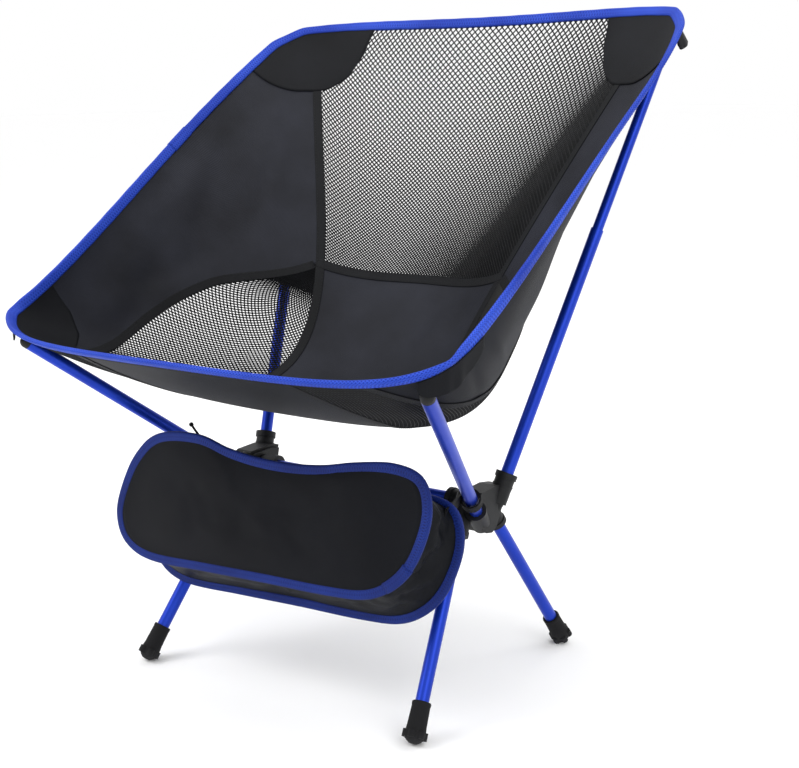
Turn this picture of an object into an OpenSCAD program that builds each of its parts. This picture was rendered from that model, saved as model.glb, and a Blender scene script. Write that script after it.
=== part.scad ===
// Low camping chair for backpacking: a shock-corded tube frame in two moulded hubs, a fabric seat that hangs
// on four pole tips, and the chair's own zipped storage bag, strapped to the two front seat poles.
// Millimetres, +Z up, the sitter faces -Y. Origin on the ground below the middle of the chair.

/* [Tubes] */
// Outside diameter of the frame tubes
tube_d = 13; // [12:0.5:14]
// Wall of the frame tubes
tube_wall = 1; // [0.8:0.1:1.2]
// Outside diameter of the upper back pole, which slides in the lower one
inner_tube_d = 10.8; // [9.6:0.1:10.9]
// Radial clearance of every sliding tube
slide_gap = 0.05; // [0.03:0.01:0.09]
// Diameter of the elastic cord inside the tubes
cord_d = 2.8; // [2:0.1:3.2]

/* [Stance] */
// Height of the crossbar above the ground
hub_z = 187; // [180:1:195]
// Depth of the crossbar behind the origin
hub_y = 4; // [0:1:10]
// Half the length of the crossbar
crossbar_half = 134; // [130:1:136]
// Half the distance between the front feet
front_foot_x = 174; // [168:1:180]
// Distance of the front feet in front of the crossbar
front_foot_y = 157; // [150:1:165]
// Half the distance between the rear feet
rear_foot_x = 167; // [160:1:175]
// Distance of the rear feet behind the crossbar
rear_foot_y = 138; // [130:1:145]

/* [Hubs] */
// Outside diameter of the hub's sockets
barrel_d = 20; // [19:0.5:21]
// Length of the tapered back pole socket
back_cone_len = 50; // [44:1:54]

/* [Feet] */
// Outside diameter of the rubber boot
boot_d = 18.5; // [17:0.5:20]
// Height of the boot above its sole
boot_h = 34; // [30:1:38]
// Diameter of the round that the claws stand on
claw_ring_d = 18; // [17:0.5:19]
// Number of claws round the sole
claw_count = 6; // [5:1:7]

/* [Seat] */
// Thickness of the seat cloth
cloth_th = 1.2; // [0.8:0.1:1.4]
// Width of the binding tape round the seat's edge
binding_w = 11; // [9:0.5:12]
// Thickness of the folded binding tape
binding_th = 2.6; // [2.4:0.1:3]
// Width of the seam tapes
seam_w = 10; // [8:0.5:12]
// How far a corner pocket hangs below the edge
pocket_drop = 20; // [16:1:24]
// How far a back corner pocket flares out round its pole tip
back_flare = 12; // [10:1:16]

/* [Storage bag] */
// Distance of the bag's front panel in front of the crossbar
bag_front_y = 160; // [156:1:166]
// Depth of the bag
bag_depth = 52; // [46:1:53]
// How much lower the rear panel hangs
bag_rear_drop = 42; // [30:1:44]
// Width of the bag's binding tape
bag_binding_w = 10; // [8:0.5:11]
// Thickness of the bag's cloth
bag_cloth_th = 1.4; // [1:0.1:2]
// Width of the webbing straps
strap_w = 12; // [10:1:14]

/* [Hidden] */
$fn = 48;

blue = [0.10, 0.24, 0.85];
binding_blue = [0.22, 0.36, 0.90];
bag_blue = [0.12, 0.20, 0.62];
cloth_black = [0.10, 0.10, 0.12];
mesh_grey = [0.32, 0.32, 0.34];
plastic_black = [0.06, 0.06, 0.07];
rubber_black = [0.04, 0.04, 0.04];
lining_black = [0.07, 0.07, 0.08];
metal_grey = [0.25, 0.25, 0.27];
cord_grey = [0.41, 0.41, 0.41];

tube_r = tube_d / 2;
bore_r = tube_r + slide_gap;
upper_r = inner_tube_d / 2;
cord_r = cord_d / 2;

// ---- Lines of the frame, right-hand side; the left side is its mirror image ----
hub = [0, hub_y, hub_z];
front_foot = [front_foot_x, hub_y - front_foot_y, 0];
rear_foot = [rear_foot_x, hub_y + rear_foot_y, 0];
front_leg_at_hub = hub + [143, -21, 0];
rear_leg_at_hub = hub + [147, 10, 0];
seat_pole_at_hub = hub + [160, -25, 0];
back_pole_at_hub = hub + [155, 22, 0];
seat_pole_end = [242, hub_y - 221, 347];
back_pole_end = [231, hub_y + 226, 628];

function unit(v) = v / norm(v);
front_leg_dir = unit(front_leg_at_hub - front_foot);
rear_leg_dir = unit(rear_leg_at_hub - rear_foot);
seat_pole_dir = unit(seat_pole_end - seat_pole_at_hub);
back_pole_dir = unit(back_pole_end - back_pole_at_hub);

// Points along a line where it passes a height
function at_z(p, d, z) = p + d * (z - p.z) / d.z;

front_leg_top = at_z(front_foot, front_leg_dir, 195);
front_leg_mouth = at_z(front_foot, front_leg_dir, 164);
rear_leg_top = at_z(rear_foot, rear_leg_dir, 185);
rear_leg_mouth = at_z(rear_foot, rear_leg_dir, 160);
seat_pole_root = seat_pole_at_hub - 32 * seat_pole_dir;
seat_pole_mouth = seat_pole_at_hub + 4 * seat_pole_dir;
back_pole_root = at_z(back_pole_at_hub, back_pole_dir, 191);
back_pole_mouth = at_z(back_pole_at_hub, back_pole_dir, 212);
back_pole_joint = at_z(back_pole_at_hub, back_pole_dir, 446);
upper_overlap = 62;
crossbar_mouth_x = 113;
web_x = [139, 160];
web_outline = [
    [-24, 10], [-14, 16], [14, 17], [31, 14], [28, 2],
    [20, -12], [12, -25], [4, -29], [-6, -27], [-18, -14]
];
tip_len = 7;
boot_grip = 22;
sole_drop = 5;

// ---- Seat cloth: a smooth sheet from rows of points, front edge to top edge ----
// Each row: middle y and z, half width of its flat middle, then a shoulder point and the side edge point
seat_rows = [
    [-267, 357, 150, [236, -262, 354], [264, -220, 378]],
    [-110, 270, 160, [275, -140, 290], [265, -192, 388]],
    [  -5, 252, 115, [225,  -58, 272], [268,  -98, 446]],
    [  95, 350,  80, [165,   20, 345], [270,   42, 548]],
    [ 205, 500,  90, [170,  130, 485], [272,  168, 625]],
    [ 255, 660, 110, [200,  262, 666], [256,  210, 656]]
];
row_count = len(seat_rows);
front_round = [0.055, 0.04];
back_round = [0.055, 0.10];
seat_end = 0.695;
edge_len = 640;
half_girth = 268;

function knot(i) = min(max(i - 3, 0), row_count - 3) / (row_count - 3);
function ramp(u, a, b) = b > a ? (u - a) / (b - a) : 0;
function fall(i, k, u) = knot(i + k) > knot(i) ? 1 - ramp(u, knot(i), knot(i + k)) : 0;
function spline(i, k, u) = k == 0
    ? (u >= knot(i) && u < knot(i + 1) ? 1 : 0)
    : ramp(u, knot(i), knot(i + k)) * spline(i, k - 1, u) + fall(i + 1, k, u) * spline(i + 1, k - 1, u);
function row_point(r, c) = c == 0 ? [0, r[0], r[1]] : c == 1 ? [r[2], r[0], r[1]] : r[c + 1];
function across(r, t) = pow(1 - t, 3) * row_point(r, 0)
    + 3 * t * pow(1 - t, 2) * row_point(r, 1)
    + 3 * t * t * (1 - t) * row_point(r, 2)
    + pow(t, 3) * row_point(r, 3);
function round_off(x, size) = size[1] * (1 - sqrt(1 - pow(min(max(1 - x / size[0], 0), 1), 2)));
function half_width(s) = 1 - round_off(s, front_round) - round_off(1 - s, back_round);
function sheet(s, w) = let (u = min(max(s, 0), 0.99999))
    [for (i = [0 : row_count - 1]) spline(i, 3, u)] * [for (r = seat_rows) across(r, abs(w))];
function signed(p, w) = [w < 0 ? -p.x : p.x, p.y + hub_y, p.z];
// Point of the seat: s runs from the front edge to the top edge, t from -1 at the left edge to 1 at the right
function cloth(s, t) = let (w = t * half_width(s)) signed(sheet(s, w), w);
function cloth_n(s, t) = let (
        e = 0.004,
        w = max(abs(t) * half_width(s), 0.01),
        lo = max(s - e, 0),
        hi = min(s + e, 0.9999),
        v = min(w, 1 - e),
        n = unit(cross(sheet(hi, w) - sheet(lo, w), sheet(s, v + e) - sheet(s, v - e))))
    [t < 0 ? -n.x : n.x, n.y, n.z];
function off(s, t, d) = cloth(s, t) + d * cloth_n(s, t);
// Middle seams, and the seam between a side panel and its mesh
function seam_t(s) = 0.33 + 0.52 * pow(max((s - 0.42) / 0.58, 0), 2);
side_seam = [[0, 0.60], [0.13, 0.68], [0.3, 0.755], [0.45, 0.75], [0.58, 0.68], [seat_end, 0.455]];
function side_t(s) = s < seat_end ? lookup(s, side_seam) : seam_t(s);
edge_s = 0.002;
edge_t = 0.994;
panel_gap = 0.0012;

// A closed slab between two grids of points; outer lies on the side that the row and column order winds round
module slab(near, far) {
    nr = len(near);
    nc = len(near[0]);
    pts = concat([for (r = near) each r], [for (r = far) each r]);
    h = nr * nc;
    quads = [for (i = [0 : nr - 2], j = [0 : nc - 2]) let (a = i * nc + j) [a, a + 1, a + nc + 1, a + nc]];
    side = concat([for (j = [0 : nc - 1]) j], [for (i = [1 : nr - 1]) i * nc + nc - 1],
        [for (j = [nc - 2 : -1 : 0]) (nr - 1) * nc + j], [for (i = [nr - 2 : -1 : 1]) i * nc]);
    m = len(side);
    tri = concat(
        [for (q = quads) each [[q[0], q[1], q[2]], [q[0], q[2], q[3]]]],
        [for (q = quads) each [[h + q[0], h + q[2], h + q[1]], [h + q[0], h + q[3], h + q[2]]]],
        [for (k = [0 : m - 1]) let (a = side[k], b = side[(k + 1) % m])
            each [[a, h + a, b], [b, h + a, h + b]]]);
    polyhedron(pts, tri, convexity = 6);
}

// Part of the seat between rows s0 and s1 and between two curves, from depth d0 to depth d1 outside the cloth
module patchwork(s0, s1, ns, t_low, t_high, nt, d0, d1, right = true) {
    function grid(d) = [for (i = [0 : ns]) let (s = s0 + (s1 - s0) * i / ns, a = t_low(s), b = t_high(s))
        [for (j = [0 : nt]) let (t = a + (b - a) * j / nt) off(s, t, d)]];
    mirror([right ? 0 : 1, 0, 0]) slab(grid(d1), grid(d0));
}

// A bar of flat section swept round a loop or along a line of frames [point, across, up]
module flat_bar(frames, w, low, high, closed = false) {
    n = len(frames);
    ring = [[-w, low], [w, low], [w, high], [-w, high]];
    pts = [for (f = frames, c = ring) f[0] + c[0] * f[1] + c[1] * f[2]];
    last = closed ? n - 1 : n - 2;
    walls = [for (i = [0 : last], k = [0 : 3]) let (a = i * 4, b = ((i + 1) % n) * 4, l = (k + 1) % 4)
        each [[a + k, b + k, a + l], [a + l, b + k, b + l]]];
    end = n * 4;
    caps = closed ? [] : [[0, 1, 2], [0, 2, 3], [end - 2, end - 3, end - 4], [end - 1, end - 2, end - 4]];
    polyhedron(pts, concat(walls, caps), convexity = 6);
}

module along(p, d) {
    translate(p) rotate([0, acos(d.z), atan2(d.y, d.x)]) children();
}
module rod(a, b, r) {
    along(a, unit(b - a)) cylinder(h = norm(b - a), r = r);
}
module cone(a, b, r1, r2) {
    along(a, unit(b - a)) cylinder(h = norm(b - a), r1 = r1, r2 = r2);
}
module pipe(a, b, r, wall) {
    difference() {
        rod(a, b, r);
        rod(a - unit(b - a), b + unit(b - a), r - wall);
    }
}
module on_side(right) {
    mirror([right ? 0 : 1, 0, 0]) children();
}

// ---- Frame ----
module crossbar() {
    color(blue) pipe(hub - [crossbar_half, 0, 0], hub + [crossbar_half, 0, 0], tube_r, tube_wall);
}

module hub_body(right) {
    wall = barrel_d / 2;
    color(plastic_black) on_side(right) difference() {
        union() {
            rod([crossbar_mouth_x, hub.y, hub.z], [web_x[0] + 8, hub.y, hub.z], wall);
            rod([crossbar_mouth_x, hub.y, hub.z], [crossbar_mouth_x + 5, hub.y, hub.z], wall + 1.5);
            hub_web(web_x[0], web_x[1], 0);
            hub_web(web_x[0] - 4, web_x[0] + 1, 3);
            rod(front_leg_mouth, front_leg_top + 4 * front_leg_dir, wall - 0.5);
            rod(front_leg_mouth, front_leg_mouth + 5 * front_leg_dir, wall + 0.5);
            rod(rear_leg_mouth, rear_leg_top + 4 * rear_leg_dir, wall - 0.5);
            rod(rear_leg_mouth, rear_leg_mouth + 5 * rear_leg_dir, wall + 0.5);
            rod(seat_pole_root - 4 * seat_pole_dir, seat_pole_mouth, wall - 0.5);
            rod(seat_pole_mouth - 5 * seat_pole_dir, seat_pole_mouth, wall + 0.5);
            rod(back_pole_root - 8 * back_pole_dir, back_pole_mouth, wall);
            cone(back_pole_mouth - back_cone_len * back_pole_dir, back_pole_mouth - 12 * back_pole_dir,
                5, wall + 0.6);
            rod(back_pole_mouth - 6 * back_pole_dir, back_pole_mouth, wall + 1.2);
        }
        rod([crossbar_mouth_x - 1, hub.y, hub.z], [crossbar_half, hub.y, hub.z], bore_r);
        rod(front_leg_mouth - front_leg_dir, front_leg_top, bore_r);
        rod(rear_leg_mouth - rear_leg_dir, rear_leg_top, bore_r);
        rod(seat_pole_root, seat_pole_mouth + seat_pole_dir, bore_r);
        rod(back_pole_root, back_pole_mouth + back_pole_dir, bore_r);
        cord_anchor_holes();
    }
}
// Flat web between the sockets, seen from the side: wide at the top and running down to a blunt point
module hub_web(x0, x1, inset) {
    translate([x0, 0, 0]) rotate([90, 0, 90]) linear_extrude(height = x1 - x0) offset(delta = -inset)
        polygon([for (p = web_outline) [hub.y + p[0], hub.z + p[1]]]);
}
module cord_anchor_holes() {
    rod(front_leg_top - front_leg_dir, front_leg_top + 3 * front_leg_dir, cord_r);
    rod(rear_leg_top - rear_leg_dir, rear_leg_top + 3 * rear_leg_dir, cord_r);
    rod(seat_pole_root - 3 * seat_pole_dir, seat_pole_root + seat_pole_dir, cord_r);
    rod(back_pole_root - 3 * back_pole_dir, back_pole_root + back_pole_dir, cord_r);
}

// The elastic cords run inside the tubes from a hub and end in a knot
module shock_cords(right) {
    reach = 70;
    color(cord_grey) on_side(right) {
        corded(front_leg_top + 3 * front_leg_dir, front_leg_top - reach * front_leg_dir);
        corded(rear_leg_top + 3 * rear_leg_dir, rear_leg_top - reach * rear_leg_dir);
        corded(seat_pole_root - 3 * seat_pole_dir, seat_pole_root + reach * seat_pole_dir);
        corded(back_pole_root - 3 * back_pole_dir, back_pole_joint + 20 * back_pole_dir);
    }
}
module corded(a, b) {
    rod(a, b, cord_r);
    translate(b) sphere(r = 3.4);
}

module leg(foot, d, top, right) {
    bottom = foot + (boot_sole(foot, d) + boot_h - boot_grip) * d;
    color(blue) on_side(right) pipe(bottom, top, tube_r, tube_wall);
}
module seat_pole(right) {
    color(blue) on_side(right) pipe(seat_pole_root, seat_pole_end, tube_r, tube_wall);
}
module back_pole_lower(right) {
    color(blue) on_side(right) pipe(back_pole_root, back_pole_joint, tube_r, tube_wall);
}
module back_pole_upper(right) {
    color(blue) on_side(right)
        pipe(back_pole_joint - upper_overlap * back_pole_dir, back_pole_end, upper_r, tube_wall);
}
module crossbar_cord() {
    color(cord_grey) rod(hub - [crossbar_half - 4, 0, 0], hub + [crossbar_half - 4, 0, 0], cord_r);
}

// Distance up the leg's line at which the claws' lowest edge just meets the ground
function boot_sole(foot, d) = (claw_ring_d / 2 + 3) * sqrt(1 - d.z * d.z) / d.z - 0.8;

module foot_boot(foot, d, right) {
    h = boot_sole(foot, d);
    color(rubber_black) on_side(right) difference() {
        along(foot + h * d, d) {
            difference() {
                rotate_extrude() polygon([
                    [0, -sole_drop], [4, -sole_drop + 0.6], [7, -2.4],
                    [claw_ring_d / 2, 0], [claw_ring_d / 2 + 1, 4],
                    [boot_d / 2 + 0.4, 8], [boot_d / 2, 12], [boot_d / 2 - 0.5, boot_h - 4],
                    [boot_d / 2 - 0.2, boot_h - 3], [boot_d / 2 - 0.2, boot_h - 0.8],
                    [boot_d / 2 - 1, boot_h], [tube_r - 0.01, boot_h], [0, boot_h]]);
                translate([0, 0, boot_h - boot_grip]) cylinder(h = boot_grip + 1, r = tube_r);
            }
            for (k = [0 : claw_count - 1]) rotate([0, 0, k * 360 / claw_count])
                translate([claw_ring_d / 2 - 0.6, 0, 0]) cylinder(h = 7, r = 3.6, $fn = 24);
        }
        translate([foot.x, foot.y, -20]) cube(40, center = true);
    }
}

module pole_tip(end, d, r, right) {
    color(plastic_black) on_side(right) along(end, d) {
        cylinder(h = tip_len - 4, r = r);
        translate([0, 0, tip_len - 4]) sphere(r = r);
        translate([0, 0, -10]) cylinder(h = 10, r = r - tube_wall);
    }
}

// ---- Seat ----
module seat_panel() {
    color(cloth_black) patchwork(edge_s, seat_end - panel_gap, 16, function (s) -seam_t(s) + panel_gap,
        function (s) seam_t(s) - panel_gap, 12, 0, cloth_th);
}
module back_mesh() {
    color(mesh_grey) patchwork(seat_end, 1 - edge_s, 12, function (s) -seam_t(s) + panel_gap,
        function (s) seam_t(s) - panel_gap, 14, 0, cloth_th);
}
module side_panel(right) {
    color(cloth_black) patchwork(edge_s, 1 - edge_s, 28, function (s) side_t(s), function (s) edge_t, 7,
        0, cloth_th, right);
}
module side_mesh(right) {
    color(mesh_grey) patchwork(edge_s, seat_end - 0.012, 18, function (s) seam_t(s),
        function (s) side_t(s) - panel_gap, 6, 0, cloth_th, right);
}

// Reinforcing patches lie on the sitter's side of the four corners
front_patch = [[0.6, 0.03], [0.69, 0.10], [0.78, 0.145], [0.875, 0.165], [1, 0.155]];
back_patch = [[0.56, 0.975], [0.6, 0.95], [0.68, 0.93], [0.77, 0.917], [0.89, 0.892], [1, 0.868]];
module corner_patch(inner, s_edge, right) {
    columns = 9;
    rows = 6;
    t0 = inner[0][0];
    function s_at(t, share) = lookup(t, inner) * (1 - share) + s_edge * share;
    function grid(d) = [for (j = [0 : columns]) let (t = t0 + (edge_t - t0) * j / columns)
        [for (i = [0 : rows]) off(s_at(t, i / rows), t, d)]];
    up = s_edge > 0.5;
    color(cloth_black) on_side(right) slab(up ? grid(-0.05) : grid(-1), up ? grid(-1) : grid(-0.05));
}

// Corner pockets hang outside the four pole tips, open towards the hubs; the back ones flare out round the tip
module pocket(stations, flare, right) {
    wall = 1.4;
    top = [for (p = stations) off(p[0], p[1], binding_th)];
    mid = (top[0] + top[len(top) - 1]) / 2;
    function inward(p) = unit([mid.x - p.x, mid.y - p.y, 0]);
    function rim(p, depth) = [p + depth * inward(p), p + (depth - flare) * inward(p) - [0, 0, pocket_drop]];
    color(cloth_black) on_side(right) slab([for (p = top) rim(p, 0)], [for (p = top) rim(p, wall)]);
}
front_corner = [
    [0.13, 0.985], [0.09, 0.985], [0.055, 0.985], [0.035, 0.985], [0.02, 0.98],
    [0.008, 0.98], [0.008, 0.94], [0.008, 0.88], [0.008, 0.82]
];
back_corner = [
    [0.905, 0.985], [0.93, 0.985], [0.95, 0.985], [0.97, 0.985], [0.985, 0.98],
    [0.993, 0.96], [0.993, 0.92], [0.993, 0.86], [0.993, 0.78]
];

// Stations round the edge: front, right, top and left, closer together in the rounded corners
corner_steps = [0, 0.003, 0.01, 0.022, 0.038, 0.055];
side_steps = concat(
    corner_steps,
    [for (k = [1 : 15]) 0.055 + 0.89 * k / 16],
    [for (k = [5 : -1 : 0]) 1 - corner_steps[k]]);
front_steps = [for (k = [1 : 13]) -1 + 2 * k / 14];
edge_stations = concat(
    [for (t = front_steps) [0, t]],
    [for (s = side_steps) [s, 1]],
    [for (t = front_steps) [1, -t]],
    [for (k = [len(side_steps) - 1 : -1 : 0]) [side_steps[k], -1]]);
function frames_round(stations) = let (n = len(stations), pts = [for (p = stations) cloth(p[0], p[1])])
    [for (i = [0 : n - 1]) let (
            ahead = unit(pts[(i + 1) % n] - pts[(i + n - 1) % n]),
            up = cloth_n(stations[i][0], stations[i][1]),
            side = unit(cross(ahead, up)))
        [pts[i], side, unit(cross(side, ahead))]];
module edge_binding() {
    color(binding_blue) flat_bar(frames_round(edge_stations), binding_w / 2, -0.7, binding_th - 0.7, true);
}

module seam_strip(s0, s1, n, line, right) {
    half = seam_w / 2 / half_girth;
    patchwork(s0, s1, n, function (s) line(s) - half, function (s) line(s) + half, 1,
        cloth_th + 0.1, cloth_th + 0.8, right);
}
module seam_tapes(right) {
    color(cloth_black) {
        seam_strip(0.02, 0.98, 24, function (s) seam_t(s), right);
        seam_strip(0.17, seat_end - 0.07, 14, function (s) side_t(s), right);
    }
}
module seam_tape_cross() {
    half = seam_w / 2 / edge_len;
    color(cloth_black) patchwork(seat_end - half, seat_end + half, 1, function (s) -seam_t(s) + 0.03,
        function (s) seam_t(s) - 0.03, 14, cloth_th + 0.1, cloth_th + 0.8);
}

// ---- Storage bag ----
zip_r = 380;
zip_mid = [22, 245];
zip_half = 15;
function on_zip(a, r) = [zip_mid[0] + r * sin(a), zip_mid[1] + zip_r - r * cos(a)];
// Outline seen from the front: the hollow top is an arc, the rest a smooth curve through the bag's corners
bag_corners = [
    [162, 263], [190, 255], [196, 226], [182, 186], [160, 158], [128, 140], [80, 134], [5, 131],
    [-74, 127], [-150, 124], [-184, 136], [-193, 162], [-182, 194], [-160, 228], [-128, 252]
];
function curve(p, k, u) = let (
        n = len(p),
        a = p[(k + n - 1) % n],
        b = p[k],
        c = p[(k + 1) % n],
        d = p[(k + 2) % n])
    (2 * b + (c - a) * u + (2 * a - 5 * b + 4 * c - d) * u * u + (3 * b - a - 3 * c + d) * u * u * u) / 2;
bag_knots = concat([for (a = [-zip_half : 6 : zip_half]) on_zip(a, zip_r)], bag_corners);
bag_outline = [for (k = [0 : len(bag_knots) - 1], u = [0, 1 / 2]) curve(bag_knots, k, u)];
bag_mid = [0, 195];
function bag_at(p, depth, shrink = 0) = let (q = p - unit(p - bag_mid) * shrink)
    [q[0], hub_y - bag_front_y + depth, q[1] - bag_rear_drop * depth / bag_depth];

module bag_panel(depth) {
    color(cloth_black) translate([0, hub_y - bag_front_y + depth, -bag_rear_drop * depth / bag_depth])
        rotate([90, 0, 0]) translate([0, 0, -bag_cloth_th]) linear_extrude(height = bag_cloth_th)
            polygon([for (p = bag_outline) p - unit(p - bag_mid) * (bag_binding_w / 2 + 0.3)]);
}
module bag_front_panel() { bag_panel(0); }
module bag_rear_panel() { bag_panel(bag_depth - bag_cloth_th); }
module bag_gusset() {
    n = len(bag_outline);
    gap = 3.2;
    outer = 3;
    inner = outer + bag_cloth_th;
    back = bag_depth - gap;
    pts = [for (p = bag_outline)
        each [bag_at(p, gap, outer), bag_at(p, back, outer), bag_at(p, back, inner), bag_at(p, gap, inner)]];
    walls = [for (i = [0 : n - 1], k = [0 : 3]) let (a = i * 4, b = ((i + 1) % n) * 4, l = (k + 1) % 4)
        each [[a + k, a + l, b + k], [a + l, b + l, b + k]]];
    color(lining_black) polyhedron(pts, walls, convexity = 8);
}
module bag_binding(depth) {
    n = len(bag_outline);
    function ahead(i) = unit(bag_outline[(i + 1) % n] - bag_outline[(i + n - 1) % n]);
    function frame(i) = [bag_at(bag_outline[i], depth), [ahead(i)[1], 0, -ahead(i)[0]], [0, 1, 0]];
    color(bag_blue) flat_bar([for (i = [0 : n - 1]) frame(i)], bag_binding_w / 2, -1.3, 1.3, true);
}
zip_depth = 25;
module bag_zip_tape() {
    steps = 12;
    reach = zip_half - 1;
    function grid(h) = [for (i = [0 : steps]) let (q = on_zip(reach * (2 * i / steps - 1), zip_r - h))
        [for (depth = [zip_depth - 6, zip_depth + 6]) bag_at(q, depth)]];
    color(plastic_black) slab(grid(-2.7), grid(-1.7));
}
module zip_slider() {
    start = -zip_half + 3;
    slope = atan(bag_rear_drop / bag_depth);
    color(metal_grey) translate(bag_at(on_zip(start, zip_r), zip_depth))
        rotate([0, -start, 0]) rotate([-slope, 0, 0]) {
            translate([-6, -4, 0.9]) cube([12, 8, 3]);
            translate([-2, -2, 3.8]) cube([4, 4, 2.2]);
            translate([-26, -3, 4.6]) cube([24, 6, 1.4]);
        }
}

// A webbing loop round a seat pole, and its tail that is sewn to the end of the bag
loop_z = 206;
loop_r = tube_r + 2;
strap_th = 1.6;
strap_sewn = [189, hub_y - bag_front_y + 40, 214];
module bag_strap(right) {
    p = at_z(seat_pole_at_hub, seat_pole_dir, loop_z);
    side = unit(cross(strap_sewn - p, seat_pole_dir));
    start = p + (loop_r + strap_th / 2) * side + 2 * unit(p - strap_sewn);
    run = unit(strap_sewn - start);
    wide = unit(cross(run, side)) * strap_w / 2;
    color(plastic_black) on_side(right) {
        difference() {
            along(p - strap_w / 2 * seat_pole_dir, seat_pole_dir)
                cylinder(h = strap_w, r = loop_r + strap_th);
            along(p - strap_w * seat_pole_dir, seat_pole_dir) cylinder(h = 2 * strap_w, r = loop_r);
        }
        slab([for (q = [start, strap_sewn]) [q - wide, q + wide]],
            [for (q = [start, strap_sewn]) [q - wide + strap_th * side, q + wide + strap_th * side]]);
    }
}

crossbar();
hub_body(false);  // hub_left
hub_body(true);  // hub_right
leg(front_foot, front_leg_dir, front_leg_top, false);  // front_leg_left
leg(front_foot, front_leg_dir, front_leg_top, true);  // front_leg_right
leg(rear_foot, rear_leg_dir, rear_leg_top, false);  // rear_leg_left
leg(rear_foot, rear_leg_dir, rear_leg_top, true);  // rear_leg_right
foot_boot(front_foot, front_leg_dir, false);  // front_foot_left
foot_boot(front_foot, front_leg_dir, true);  // front_foot_right
foot_boot(rear_foot, rear_leg_dir, false);  // rear_foot_left
foot_boot(rear_foot, rear_leg_dir, true);  // rear_foot_right
seat_pole(false);  // seat_pole_left
seat_pole(true);  // seat_pole_right
back_pole_lower(false);  // back_pole_lower_left
back_pole_lower(true);  // back_pole_lower_right
back_pole_upper(false);  // back_pole_upper_left
back_pole_upper(true);  // back_pole_upper_right
pole_tip(seat_pole_end, seat_pole_dir, tube_r, false);  // seat_tip_left
pole_tip(seat_pole_end, seat_pole_dir, tube_r, true);  // seat_tip_right
pole_tip(back_pole_end, back_pole_dir, upper_r, false);  // back_tip_left
pole_tip(back_pole_end, back_pole_dir, upper_r, true);  // back_tip_right
shock_cords(false);  // shock_cord_left
shock_cords(true);  // shock_cord_right
crossbar_cord();
seat_panel();
back_mesh();
side_panel(false);  // side_panel_left
side_panel(true);  // side_panel_right
side_mesh(false);  // side_mesh_left
side_mesh(true);  // side_mesh_right
corner_patch(front_patch, edge_s, false);  // front_patch_left
corner_patch(front_patch, edge_s, true);  // front_patch_right
corner_patch(back_patch, 1 - edge_s, false);  // back_patch_left
corner_patch(back_patch, 1 - edge_s, true);  // back_patch_right
pocket(front_corner, 0, false);  // front_pocket_left
pocket(front_corner, 0, true);  // front_pocket_right
pocket(back_corner, back_flare, false);  // back_pocket_left
pocket(back_corner, back_flare, true);  // back_pocket_right
edge_binding();
seam_tapes(false);  // seam_tape_left
seam_tapes(true);  // seam_tape_right
seam_tape_cross();
bag_front_panel();
bag_rear_panel();
bag_gusset();
bag_binding(0.8);  // bag_front_binding
bag_binding(bag_depth - 0.8);  // bag_rear_binding
bag_zip_tape();
zip_slider();
bag_strap(false);  // bag_strap_left
bag_strap(true);  // bag_strap_right
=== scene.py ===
"""Low backpacking chair: the fabric seat, the zipped bag and every finish, built round the chair's frame.

The sitter faces -Y and +Z is up. Lengths are millimetres here, and become metres as they enter a mesh.
"""
import math

import bmesh
import bpy
import numpy as np
from mathutils import Matrix, Vector, noise


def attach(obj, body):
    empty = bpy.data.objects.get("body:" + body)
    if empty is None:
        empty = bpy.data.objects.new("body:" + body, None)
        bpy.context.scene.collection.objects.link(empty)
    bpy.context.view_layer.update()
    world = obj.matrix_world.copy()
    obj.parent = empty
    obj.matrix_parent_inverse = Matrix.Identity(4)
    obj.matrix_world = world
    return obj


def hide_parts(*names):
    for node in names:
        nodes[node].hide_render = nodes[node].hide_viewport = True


MM = 0.001

# Seat: the same rows that the frame's cloth is drawn from, front edge to top edge.
# Each row: middle y and z, half width of its flat middle, a shoulder point and the side edge point
SEAT_ROWS = [
    (-267, 357, 150, (236, -262, 354), (264, -220, 378)),
    (-110, 270, 160, (275, -140, 290), (265, -192, 388)),
    (-5, 252, 115, (225, -58, 272), (268, -98, 446)),
    (95, 350, 80, (165, 20, 345), (270, 42, 548)),
    (205, 500, 90, (170, 130, 485), (272, 168, 625)),
    (255, 660, 110, (200, 262, 666), (256, 210, 656)),
]
# Where the hubs are along Y, and the seat's length and half girth, for the size of its folds
HUB_Y = 4
SEAT_LENGTH = 640
HALF_GIRTH = 268
# Where the seat panel meets the back, as a share of the length
SEAT_END = 0.695
# How far the corners are rounded, along and across
FRONT_ROUND = (0.055, 0.04)
BACK_ROUND = (0.055, 0.10)
# Seam between a side panel and its mesh, as s then t; edges of the corner patches, as t then s
SIDE_SEAM = ((0, 0.13, 0.3, 0.45, 0.58, SEAT_END), (0.60, 0.68, 0.755, 0.75, 0.68, 0.455))
FRONT_PATCH = ((0.6, 0.69, 0.78, 0.875, 1), (0.03, 0.10, 0.145, 0.165, 0.155))
BACK_PATCH = ((0.56, 0.6, 0.68, 0.77, 0.89, 1), (0.975, 0.95, 0.93, 0.917, 0.892, 0.868))
# Where the cloth is cut at its edge, as s and t
EDGE_S = 0.002
EDGE_T = 0.994
CLOTH = 1.0
PATCH_DEPTH = -1.05
PATCH_THICK = 0.9
# Folded edge tape: width, depth of its middle, and thickness
BINDING = 11
BINDING_MIDDLE = -0.1
BINDING_THICK = 4.6
# Seam tape: width, thickness and how far its middle lies off the cloth
SEAM = 10
SEAM_THICK = 0.6
SEAM_LIFT = 0.55
# Mesh cells are this wide before they turn into diamonds; the thread is thicker than a real one
MESH_PITCH = 5.0
MESH_THREAD = 2.2
# Corner pockets: how far off the seat they start, how far they hang, and the flare of the back ones
POCKET_LIFT = 2.4
POCKET_DROP = 20
BACK_FLARE = 12

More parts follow.
